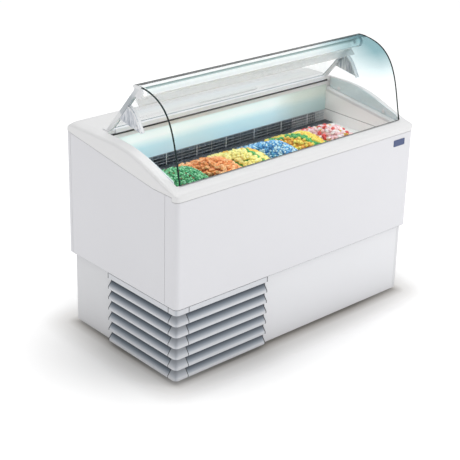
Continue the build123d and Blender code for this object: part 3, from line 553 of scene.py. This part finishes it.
# Nodes with a look of their own in place of their slot's
LOOKS = {
    "flap_pull": frosted("pull_clear", (0.9, 0.92, 0.92), 0.12),
    "canopy_tube": tube_coat(),
    # The corner moulding gets less painted shade in its blades.
    "corner_louvre_grille": louvre_coat("grille_corner", GRILLE_JOINTS_AND_GAP_SHADOWS[:2], 0.45),
    # The front panel's paint is a lighter copy of the left panel's, as painted light on the front.
    "front_base_panel": paint_with_gap_shadow("base_front", (0.81, 0.815, 0.84),
                                      ("X", -0.1825, PANEL_GAP_SHADOW)),
    "left_base_panel": paint_with_gap_shadow("base_left", (0.74, 0.745, 0.765),
                                     ("Y", FRONT_Y + 0.4425, PANEL_GAP_SHADOW)),
    "inner_liner": liner_look(),
    "pan_frame": frame_look(),
}
for node_name, node in nodes.items():
    look = LOOKS.get(node_name) or MATERIALS.get(slots[node_name])
    if look is not None:
        node.data.materials.clear()
        node.data.materials.append(look)


# ---------------------------------------------------------------- mesh helpers
class Builder:
    """Collects simple shapes into one mesh."""

    def __init__(self):
        self.verts, self.faces, self.indices = [], [], []

    def add(self, verts, faces, index=0):
        """Adds a shape with one material index."""
        base = len(self.verts)
        self.verts += verts
        self.faces += [tuple(base + i for i in face) for face in faces]
        self.indices += [index] * len(faces)

    def wire(self, start, end, radius, sides, index=0):
        """Straight wire whose closed ends are slightly tapered."""
        start, end = Vector(start), Vector(end)
        turn = (end - start).to_track_quat("Z", "Y")
        inset = (end - start).normalized() * radius * 0.28
        verts = []
        for centre, scale in ((start, 0.72), (start + inset, 1), (end - inset, 1), (end, 0.72)):
            for s in range(sides):
                angle = 2 * math.pi * s / sides
                spoke = Vector((math.cos(angle), math.sin(angle), 0)) * radius * scale
                verts.append(centre + turn @ spoke)
        faces = [tuple(reversed(range(sides))), tuple(range(3 * sides, 4 * sides))]
        for ring in range(0, 3 * sides, sides):
            for s in range(sides):
                t = (s + 1) % sides
                faces.append((ring + s, ring + t, ring + sides + t, ring + sides + s))
        self.add(verts, faces, index)

    def piece(self, name, body, slot, materials):
        """Makes the collected mesh a piece that rides on a body."""
        mesh = bpy.data.meshes.new(name)
        mesh.from_pydata(self.verts, [], self.faces)
        for material in materials:
            mesh.materials.append(material)
        mesh.polygons.foreach_set("material_index", self.indices)
        mesh.update()
        fix = bmesh.new()
        fix.from_mesh(mesh)
        bmesh.ops.recalc_face_normals(fix, faces=fix.faces)
        fix.to_mesh(mesh)
        fix.free()
        piece = bpy.data.objects.new(name, mesh)
        bpy.context.scene.collection.objects.link(piece)
        mesh.shade_smooth()
        mesh.set_sharp_from_angle(angle=math.radians(35))
        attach(piece, body)
        return piece


# ---------------------------------------------------------------- panes
TUBE_GLASS_R = 0.03                          # middle of the front glass, around the tube
CANOPY_CORNERS = ((0.309, AXIS_Z + TUBE_GLASS_R), (0.084, AXIS_Z + TUBE_GLASS_R),
                  (0.0904, 1.004), (0.0465, 0.832))     # depth and height, tube to foot
CANOPY_STEPS = 56
FLAP_RISE = 0.012                            # middle of the flap above the tube's axis
FLAP_START = 0.0505                          # its upper edge, down the slope from the axis
FLAP_FOOT_Z, FLAP_FOOT_GAP = 0.929, 0.003
FLAP_STEPS = 12


def pane(name, body, slot, node, middle_line, thick, half, chamfer, band, materials):
    """Pane bent along a line of (y, z, ny, nz), with chamfered edges, and their dark green painted
    on a band beside them as painted shade.
    """
    count = len(middle_line)
    full = thick / 2
    inner = full - chamfer
    stations = ((-half, inner), (-half + chamfer, full), (-half + band, full),
                (half - band, full), (half - chamfer, full), (half, inner))
    verts = [Vector((x, y + side * t * ny, z + side * t * nz))
             for x, t in stations for side in (1, -1) for y, z, ny, nz in middle_line]
    row = 2 * count
    clear_strip, last = 2, len(stations) - 1
    builder = Builder()
    builder.verts = verts
    for strip in range(last):
        a, b = strip * row, (strip + 1) * row
        for side in (0, count):
            for k in range(side, side + count - 1):
                builder.faces.append((a + k, a + k + 1, b + k + 1, b + k))
                # The faces in the band beside each edge take the edge's material as painted shade.
                builder.indices.append(0 if strip == clear_strip else 1)
        for k in (0, count - 1):
            builder.faces.append((a + k, b + k, b + count + k, a + count + k))
            builder.indices.append(1)
    for a in (0, last * row):
        for k in range(count - 1):
            builder.faces.append((a + k, a + k + 1, a + count + k + 1, a + count + k))
            builder.indices.append(1)
    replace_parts(builder.piece(name, body, slot, materials), node)


def weighted(weights, points, axis):
    return sum(w * point[axis] for w, point in zip(weights, points))


def canopy_line():
    """Middle line of the curved glass: a Bezier curve from its foot up, then over the tube."""
    steps = [(b[0] - a[0], b[1] - a[1]) for a, b in zip(CANOPY_CORNERS, CANOPY_CORNERS[1:])]
    line = []
    for step in range(CANOPY_STEPS + 1):
        t = 1 - step / CANOPY_STEPS
        u = 1 - t
        places = (u ** 3, 3 * u * u * t, 3 * u * t * t, t ** 3)
        slopes = (3 * u * u, 6 * u * t, 3 * t * t)
        slope_d, slope_z = weighted(slopes, steps, 0), weighted(slopes, steps, 1)
        length = math.hypot(slope_d, slope_z)
        line.append((FRONT_Y + weighted(places, CANOPY_CORNERS, 0),
                     weighted(places, CANOPY_CORNERS, 1), slope_z / length, -slope_d / length))
    for angle in range(86, 61, -4):
        c, s = math.cos(math.radians(angle)), math.sin(math.radians(angle))
        line.append((AXIS_Y + TUBE_GLASS_R * c, AXIS_Z + TUBE_GLASS_R * s, c, s))
    return line


def flap_line():
    """Middle line of the rear flap, straight down its slope."""
    c, s = math.cos(FLAP_SLOPE), math.sin(FLAP_SLOPE)
    end = (AXIS_Z + FLAP_RISE * c - FLAP_FOOT_Z) / s - FLAP_FOOT_GAP
    line = []
    for step in range(FLAP_STEPS + 1):
        along = FLAP_START + (end - FLAP_START) * step / FLAP_STEPS
        line.append((AXIS_Y + along * c + FLAP_RISE * s, AXIS_Z - along * s + FLAP_RISE * c, s, c))
    return line


pane("curved_glass_pane", "front_glass", "glass_clear", "curved_glass", canopy_line(),
     thick=0.006, half=0.622, chamfer=0.0009, band=0.004,
     materials=[MATERIALS["glass_clear"], GLASS_EDGE])
pane("rear_flap_sheet", "rear_flap", "flap_clear", "rear_flap_pane", flap_line(),
     thick=0.005, half=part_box("rear_flap_pane")[1].x, chamfer=0.0008, band=0.0016,
     materials=[MATERIALS["flap_clear"], FLAP_EDGE])


# ---------------------------------------------------------------- air guard
def air_guard():
    """Wire grid in front of the evaporator: rails, uprights and a fine mesh at the right end."""
    low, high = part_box("air_guard_grid")
    rails, rail_r, inset = 9, 0.0009, 0.0016
    y = high.y - inset
    builder = Builder()
    for k in range(rails):
        z = low.z + inset + k * (high.z - low.z - 2 * inset) / (rails - 1)
        builder.wire((low.x, y, z), (high.x, y, z), rail_r, 8, 1)

    def upright(x, forward, radius, sides):
        builder.wire((x, y - forward, low.z), (x, y - forward, high.z), radius, sides)

    half_pitch, thick_r, thin_r = 0.0825, 0.0015, 0.0006
    for k in range(-7, 8):
        upright(k * half_pitch, 0.0022, thick_r if k % 2 == 0 else thin_r, 8)
    mesh_x, mesh_pitch, mesh_r = 0.4, 0.0125, 0.0007
    x = mesh_x
    while x < high.x - 0.004:
        upright(x, 0.0018, mesh_r, 6)
        x += mesh_pitch
    z = low.z + 0.008
    while z < high.z - 0.003:
        builder.wire((mesh_x, y - 0.0006, z), (high.x, y - 0.0006, z), mesh_r, 6)
        z += mesh_pitch
    piece = builder.piece("air_guard_wires", "root", "wire_chrome", [UPRIGHT_WIRE, RAIL_WIRE])
    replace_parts(piece, "air_guard_grid")


air_guard()


# ---------------------------------------------------------------- ice cream
PAN_PITCH, PAN_CORNER = 0.165, 0.0175
PAN_FRONT, PAN_BACK = FRONT_Y + 0.072, FRONT_Y + 0.432
FILL_HALF = 0.0742                           # half width of the filling inside the walls
FILL_Y0, FILL_Y1 = PAN_FRONT + 0.0082, PAN_BACK - 0.0082
FILL_MIDDLE, FILL_REACH = (FILL_Y0 + FILL_Y1) / 2, (FILL_Y1 - FILL_Y0) / 2
FILL_BOTTOM = 0.603
EDGE_Z = 0.722                               # where a dome would have no height
EDGE_SHARE, DOME_POWER = 0.16, 2.5           # height kept at the sides, and roundness across
FILL_DROP = 0.006                            # the filling lies this far below the chunks
FILL_LUMPS = ((0.004, 60, 0), (0.002, 170, 3))          # height, fineness and seed offset
JITTER, SPREAD = 0.32, 1.02                  # of the chunks' grid
CHUNK_HALF, CHUNK_MARGIN = 0.0803, 0.0045    # how far chunks may spread over the pan's rim
OVER_RIM_Z, IN_PAN_Z = 0.7185, 0.70          # lowest a chunk may reach
HEAP_LINE = ((0.0, 0.735), (0.11, 0.754), (0.27, 0.775), (0.42, 0.786), (0.53, 0.787),
             (0.63, 0.779), (0.73, 0.762), (0.82, 0.743), (0.91, 0.729), (1.0, 0.722))
BASE_COLUMNS, BASE_ROWS = 30, 66


def template(kind):
    """Unit shape that the chunks of a heap are made from."""
    shape = bmesh.new()
    if kind == "block":
        bmesh.ops.create_cube(shape, size=1.6)
        bmesh.ops.bevel(shape, geom=shape.edges[:], offset=0.22, segments=1, affect="EDGES")
    else:
        subdivisions = 2 if kind == "lump" else 1
        bmesh.ops.create_icosphere(shape, subdivisions=subdivisions, radius=1.0)
    shape.verts.ensure_lookup_table()
    verts = [v.co.copy() for v in shape.verts]
    faces = [tuple(v.index for v in f.verts) for f in shape.faces]
    shape.free()
    return verts, faces


TEMPLATES = {kind: template(kind) for kind in ("lump", "fine", "block")}


def dome(u, v):
    """Top of a heap: u runs -1 to 1 across the pan, v runs 0 to 1 along it."""
    v = max(0.0, min(1.0, v))
    for (v0, z0), (v1, z1) in zip(HEAP_LINE, HEAP_LINE[1:]):
        if v <= v1:
            crest = z0 + (z1 - z0) * (v - v0) / (v1 - v0)
            break
    edge = EDGE_Z + EDGE_SHARE * (crest - EDGE_Z)
    return edge + (crest - edge) * (1 - min(1.0, abs(u)) ** DOME_POWER)


def into_corner(x, y):
    """How far a point of the filling, from its middle, lies into a corner square."""
    return abs(x) - FILL_HALF + PAN_CORNER, abs(y) - FILL_REACH + PAN_CORNER


def rounded(x, y):
    """Moves a point of the filling's rectangle into the same rectangle with round corners."""
    dx, dy = into_corner(x, y)
    if dx <= 0 or dy <= 0:
        return x, y
    pull = max(dx, dy) / math.hypot(dx, dy)
    return (math.copysign(FILL_HALF - PAN_CORNER + dx * pull, x),
            math.copysign(FILL_REACH - PAN_CORNER + dy * pull, y))


def over_rim(x, y):
    """Whether a point, from the filling's middle, is outside the filling."""
    dx, dy = into_corner(x, y)
    outside_corner = dx > 0 and dy > 0 and math.hypot(dx, dy) > PAN_CORNER
    return abs(x) > FILL_HALF or abs(y) > FILL_REACH or outside_corner


def add_filling(builder, centre, index, seed):
    """Rough dome with straight sides down to the pan's bottom."""
    row = BASE_COLUMNS + 1
    verts = []
    for j in range(BASE_ROWS + 1):
        for i in range(row):
            u, v = 2 * i / BASE_COLUMNS - 1, j / BASE_ROWS
            across, along = rounded(u * FILL_HALF, (2 * v - 1) * FILL_REACH)
            x, y = centre + across, FILL_MIDDLE + along
            z = dome(u, v) - FILL_DROP
            for height, fineness, offset in FILL_LUMPS:
                z += height * noise.noise(Vector((x * fineness, y * fineness, seed + offset)))
            verts.append(Vector((x, y, z)))
    faces = [(a, a + 1, a + row + 1, a + row)
             for j in range(BASE_ROWS) for a in range(j * row, j * row + BASE_COLUMNS)]
    border = [*range(row), *(j * row + BASE_COLUMNS for j in range(1, BASE_ROWS + 1)),
              *(BASE_ROWS * row + i for i in range(BASE_COLUMNS - 1, -1, -1)),
              *(j * row for j in range(BASE_ROWS - 1, 0, -1))]
    start, count = len(verts), len(border)
    verts += [Vector((verts[k].x, verts[k].y, FILL_BOTTOM)) for k in border]
    for k in range(count):
        m = (k + 1) % count
        faces.append((border[k], start + k, start + m, border[m]))
    faces.append(tuple(range(start, start + count)))
    builder.add(verts, faces, index)


def add_chunks(builder, centre, chooser, spacing, seed):
    """Chunks scattered over the dome on a jittered grid."""
    rng = random.Random(seed)
    columns = max(2, round(0.152 / spacing))
    rows = round(2 * FILL_REACH / spacing)
    for j in range(rows + 1):
        for i in range(columns + 1):
            shift = 0.5 * (j % 2)
            u = (2 * (i + shift + rng.uniform(-JITTER, JITTER)) / columns - 1) * SPREAD
            v = (j + rng.uniform(-JITTER, JITTER)) / rows
            if abs(u) > 1.05 or not -0.01 < v < 1.01:
                continue
            kind, size, index = chooser(u, v, rng)
            spot = Vector((centre + u * FILL_HALF, FILL_Y0 + v * (FILL_Y1 - FILL_Y0), dome(u, v)))
            spin = Euler([rng.uniform(-0.5, 0.5), rng.uniform(-0.5, 0.5), rng.uniform(0, 6.28)])
            if kind == "strip":
                kind = "lump"
                spin = Euler([rng.uniform(-limit, limit) for limit in (0.2, 0.2, 0.35)])
            spot.z += size[2] * rng.uniform(-0.35, 0.1)
            turn = spin.to_matrix()
            shape_verts, shape_faces = TEMPLATES[kind]
            placed = []
            for co in shape_verts:
                wobble = 1 + 0.22 * noise.noise(co * 1.7 + Vector((i * 3.1, j * 2.3, seed)))
                point = spot + turn @ (co * Vector(size)) * wobble
                side = max(-CHUNK_HALF, min(CHUNK_HALF, point.x - centre))
                point.x = centre + side
                point.y = max(PAN_FRONT + CHUNK_MARGIN, min(PAN_BACK - CHUNK_MARGIN, point.y))
                lowest = OVER_RIM_Z if over_rim(side, point.y - FILL_MIDDLE) else IN_PAN_Z
                point.z = max(lowest, point.z)
                placed.append(point)
            builder.add(placed, shape_faces, index)


def heap(number, name, materials, base, chooser, spacing, seed):
    """Heap in one pan: a rough filling in one of the materials, with chunks laid over it."""
    centre = (number - 3.5) * PAN_PITCH
    builder = Builder()
    add_filling(builder, centre, base, seed)
    add_chunks(builder, centre, chooser, spacing, seed)
    piece = builder.piece(name, f"pan_unit_{number}", slots[f"ice_cream_{number}"], materials)
    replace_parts(piece, f"ice_cream_{number}")


def scaled(size, factor):
    return tuple(s * factor for s in size)


# Each chooser gives a chunk's kind, half sizes and material index for a place on its heap.
def pistachio(u, v, rng):
    pick = rng.random()
    if pick < 0.09:
        return "fine", (0.0048, 0.0035, 0.003), 3
    if pick < 0.35:
        return "block", (0.0062, 0.0042, 0.0036), 1
    return "fine", (0.0072, 0.0055, 0.005), 2 if pick > 0.7 else 0


def orange(u, v, rng):
    size = rng.uniform(0.8, 1.25)
    return "block", scaled((0.0130, 0.0098, 0.0062), size), 1 if rng.random() < 0.35 else 0


def lemon(u, v, rng):
    if 0.60 < u < 0.78 or (abs(u + 0.02 - 0.25 * (v - 0.5)) < 0.09 and v < 0.7):
        return "strip", (0.0060, 0.016, 0.0062), 2
    if -0.05 < u < 0.6 and v > 0.42:
        return "strip", (0.009, 0.014, 0.0075), 1
    return "lump", scaled((0.0125, 0.011, 0.0085), rng.uniform(0.85, 1.2)), 0


def blue(u, v, rng):
    pick = rng.random()
    index = 1 if pick < 0.42 else (2 if pick < 0.55 else 0)
    return "block", (0.0058, 0.0046, 0.0042), index


def mango(u, v, rng):
    if abs(u + 0.33 - 0.5 * (0.5 - v)) < 0.13 or abs(u - 0.62) < 0.12 and rng.random() < 0.8:
        return "strip", (0.0082, 0.018, 0.0066), 2
    if -0.1 < u < 0.5:
        size = rng.uniform(0.9, 1.15)
        return "strip", scaled((0.0095, 0.014, 0.0085), size), 1 if rng.random() < 0.25 else 0
    size = rng.uniform(0.8, 1.1)
    return "lump", scaled((0.0098, 0.0088, 0.0072), size), 1 if rng.random() < 0.4 else 0


def strawberry(u, v, rng):
    pick = rng.random()
    if pick < 0.13:
        return "lump", (0.011, 0.010, 0.0085), 1
    if pick < 0.27:
        return "block", (0.0075, 0.006, 0.0055), 2
    size = rng.uniform(0.8, 1.2)
    return "lump", scaled((0.011, 0.0095, 0.0068), size), 3 if pick > 0.72 else 0


# Dark, middle and light tones of each flavour and topping
TONES = {
    "pistachio": ((0.03, 0.26, 0.10), (0.10, 0.46, 0.19), (0.34, 0.68, 0.40)),
    "pistachio_mint": ((0.12, 0.50, 0.26), (0.25, 0.64, 0.38), (0.5, 0.8, 0.55)),
    "pistachio_deep": ((0.015, 0.17, 0.07), (0.05, 0.32, 0.14), (0.1, 0.42, 0.2)),
    "nut_brown": ((0.10, 0.03, 0.015), (0.26, 0.09, 0.04), (0.4, 0.16, 0.07)),
    "orange": ((0.62, 0.15, 0.03), (0.86, 0.30, 0.09), (0.95, 0.47, 0.2)),
    "orange_pale": ((0.75, 0.25, 0.08), (0.93, 0.44, 0.19), (1.0, 0.62, 0.35)),
    "orange_deep": ((0.30, 0.05, 0.01), (0.5, 0.12, 0.03), (0.66, 0.2, 0.06)),
    "lemon": ((0.86, 0.62, 0.10), (0.96, 0.80, 0.22), (1.0, 0.93, 0.48)),
    "lemon_slice": ((0.82, 0.32, 0.02), (0.95, 0.50, 0.04), (1.0, 0.68, 0.15)),
    "leaf_green": ((0.02, 0.22, 0.05), (0.06, 0.38, 0.10), (0.2, 0.55, 0.16)),
    "blue": ((0.03, 0.20, 0.52), (0.08, 0.38, 0.72), (0.3, 0.62, 0.88)),
    "blue_pale": ((0.32, 0.62, 0.86), (0.5, 0.76, 0.93), (0.75, 0.9, 0.98)),
    "blue_deep": ((0.01, 0.10, 0.34), (0.03, 0.2, 0.5), (0.08, 0.32, 0.62)),
    "mango": ((0.88, 0.45, 0.03), (0.97, 0.66, 0.08), (1.0, 0.84, 0.25)),
    "mango_deep": ((0.75, 0.25, 0.02), (0.9, 0.42, 0.05), (0.98, 0.6, 0.14)),
    "strawberry": ((0.80, 0.34, 0.38), (0.92, 0.52, 0.55), (0.97, 0.72, 0.74)),
    "cream_pink": ((0.88, 0.58, 0.6), (0.95, 0.76, 0.78), (1.0, 0.9, 0.9)),
    "berry_red": ((0.42, 0.02, 0.02), (0.72, 0.06, 0.06), (0.86, 0.2, 0.16)),
    "wafer_gold": ((0.45, 0.20, 0.02), (0.75, 0.45, 0.08), (0.9, 0.66, 0.2)),
}
COARSE = {"lemon": 90.0}                     # texture scales other than the usual one
ICE = {key: frozen(f"ice_{key}", *tones, COARSE.get(key, 160.0)) for key, tones in TONES.items()}

# Most fillings take a darker tone than their chunks, as painted shade in the gaps between the
# chunks.
# Name, materials, index of the filling's material, chooser, chunk spacing and random seed
HEAPS = (
    ("heap_pistachio", ("pistachio", "pistachio_mint", "pistachio_deep", "nut_brown"), 2,
     pistachio, 0.0098, 11),
    ("heap_orange", ("orange", "orange_pale", "orange_deep"), 2, orange, 0.0165, 23),
    ("heap_lemon", ("lemon", "lemon_slice", "leaf_green"), 2, lemon, 0.0150, 37),
    ("heap_blue", ("blue", "blue_pale", "blue_deep"), 2, blue, 0.0088, 41),
    ("heap_mango", ("mango", "mango_deep", "leaf_green"), 1, mango, 0.0135, 59),
    ("heap_strawberry", ("strawberry", "berry_red", "wafer_gold", "cream_pink"), 0,
     strawberry, 0.0150, 61),
)
for number, (heap_name, keys, *rest) in enumerate(HEAPS, 1):
    heap(number, heap_name, [ICE[key] for key in keys], *rest)


# ---------------------------------------------------------------- stage, light and camera
FLOOR_HALF = 40.0
BASE_HALF_X, BASE_HALF_Y = 0.65, 0.333       # footprint that the contact shade surrounds


def grey(value):
    return (value, value, value)


def stage_floor():
    """White floor with a painted contact shadow where the base meets it, faintly glowing further
    out.
    """
    corners = ((-1, -1), (1, -1), (1, 1), (-1, 1))
    mesh = bpy.data.meshes.new("floor_sheet")
    mesh.from_pydata([(x * FLOOR_HALF, y * FLOOR_HALF, 0) for x, y in corners], [], [(0, 1, 2, 3)])
    floor = bpy.data.objects.new("floor_sheet", mesh)
    bpy.context.scene.collection.objects.link(floor)
    material, tree, shader, coords = new_material("floor_white", grey(0.94), 0.9)
    gap = vector_math(tree, "ABSOLUTE", coords)["Vector"]
    gap = vector_math(tree, "SUBTRACT", gap, (BASE_HALF_X, BASE_HALF_Y, 0.0))["Vector"]
    gap = vector_math(tree, "MAXIMUM", gap, (0, 0, 0))["Vector"]
    distance = vector_math(tree, "LENGTH", gap)["Value"]
    # Painted contact shadow around the base's footprint.
    paint(tree, shader, ramp(tree, remap(tree, distance, 0.0, 0.16),
                             [(0.0, (0.36, 0.34, 0.32)), (0.3, (0.70, 0.69, 0.68)),
                              (1.0, grey(0.94))]))
    shader.inputs["Specular IOR Level"].default_value = 0.1
    # The floor's glow is painted weaker near the base, to keep its shade.
    away = vector_math(tree, "LENGTH", mapped(tree, coords, (1.0, 1.6, 1.0)))["Value"]
    glow = ramp(tree, remap(tree, away, 0.65, 2.05),
                [(0.0, (0.05, 0.048, 0.045)), (0.36, grey(0.32)), (1.0, grey(0.44))])
    link(tree, glow, shader.inputs["Emission Color"])
    shader.inputs["Emission Strength"].default_value = 1.0
    mesh.materials.append(material)


def area_light(name, location, size, power):
    """Rectangular lamp aimed at the middle of the cabinet."""
    data = bpy.data.lights.new(name, "AREA")
    data.shape = "RECTANGLE"
    data.size, data.size_y = size
    data.energy = power
    lamp = bpy.data.objects.new(name, data)
    lamp.location = location
    direction = Vector((0, 0, 0.6)) - Vector(location)
    lamp.rotation_euler = direction.to_track_quat("-Z", "Y").to_euler()
    bpy.context.scene.collection.objects.link(lamp)


def studio():
    world = bpy.data.worlds.new("studio")
    bpy.context.scene.world = world
    world.use_nodes = True
    background = world.node_tree.nodes["Background"]
    background.inputs["Color"].default_value = (1.0, 1.0, 1.0, 1)
    background.inputs["Strength"].default_value = 0.55
    area_light("overhead", (0.3, 0.3, 4.2), (4.5, 4.0), 84)
    area_light("front_right", (2.6, -3.4, 2.4), (2.5, 2.5), 34)
    bpy.context.scene.view_settings.view_transform = "Standard"


def camera():
    """Long lens from the front left, looking down, with a small shift for the framing."""
    azimuth, pitch, roll = (math.radians(a) for a in (43.63, 22.98, 2.11))
    forward = Vector((math.sin(azimuth) * math.cos(pitch), math.cos(azimuth) * math.cos(pitch),
                      -math.sin(pitch)))
    right = Vector((math.cos(azimuth), -math.sin(azimuth), 0))
    up = right.cross(forward)
    side = right * math.cos(roll) + up * math.sin(roll)
    top = up * math.cos(roll) - right * math.sin(roll)
    data = bpy.data.cameras.new("view")
    data.lens = 96.8
    data.sensor_width = 36
    data.shift_x = -0.061
    data.shift_y = -0.061
    eye = bpy.data.objects.new("view", data)
    turn = Matrix((side, top, -forward)).transposed().to_4x4()
    eye.matrix_world = Matrix.Translation((-3.362, -3.610, 2.595)) @ turn
    bpy.context.scene.collection.objects.link(eye)
    bpy.context.scene.camera = eye


stage_floor()
studio()
camera()
